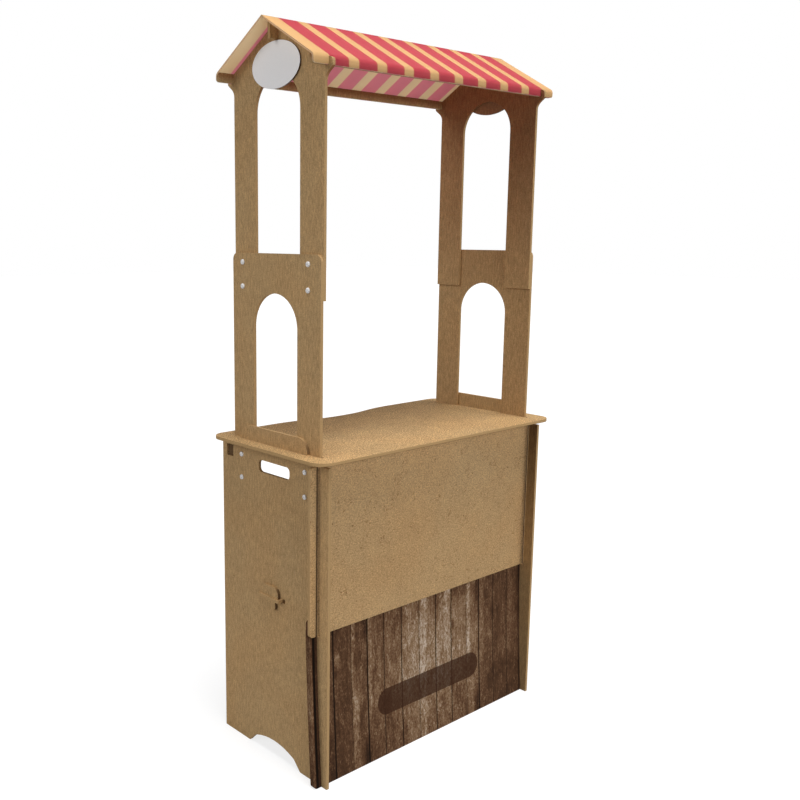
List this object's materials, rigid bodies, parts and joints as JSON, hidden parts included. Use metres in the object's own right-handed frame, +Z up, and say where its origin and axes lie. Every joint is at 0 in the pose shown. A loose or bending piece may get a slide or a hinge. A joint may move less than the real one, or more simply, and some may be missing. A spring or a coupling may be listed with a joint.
{
  "type": "roofed counter",
  "caption": "Slot-together fibreboard counter with plank-look front, arched tower frames at both ends and a striped gable roof over the serving space",
  "frame": {"origin": "centre of the footprint on the floor, under the middle of the countertop", "axes": "+X along the counter to the customer's right, +Y from the customer side to the serving side, +Z up"},
  "size_m": [1, 0.496, 2.081],
  "materials": {
    "fibreboard": "raw medium density fibreboard, fine speckle, cut edges a little lighter",
    "kraft_face": "fibreboard with a plain brown paper-like face",
    "plank_face": "printed weathered upright planks, matt",
    "counter_face": "fibreboard, warmer and lighter upper face",
    "awning_stripes": "red and cream painted stripes, satin",
    "sign_face": "light grey painted face, bare"
  },
  "bodies": {
    "root": {"side_panel_left": "fibreboard", "side_panel_right": "fibreboard", "front_panel_upper": "kraft_face", "front_panel_lower": "plank_face", "countertop": "counter_face", "lower_frame_left": "fibreboard", "lower_frame_right": "fibreboard", "gable_frame_left": "fibreboard", "gable_frame_right": "fibreboard", "roof_sheet_front": "awning_stripes", "roof_sheet_back": "awning_stripes", "eave_rail_front": "fibreboard", "eave_rail_back": "fibreboard", "ridge_beam": "fibreboard", "sign_board_left": "sign_face", "sign_board_right": "sign_face", "rear_rail": "fibreboard", "shelf": "fibreboard", "shelf_key_left": "fibreboard", "shelf_key_right": "fibreboard"}
  },
  "joints": []
}
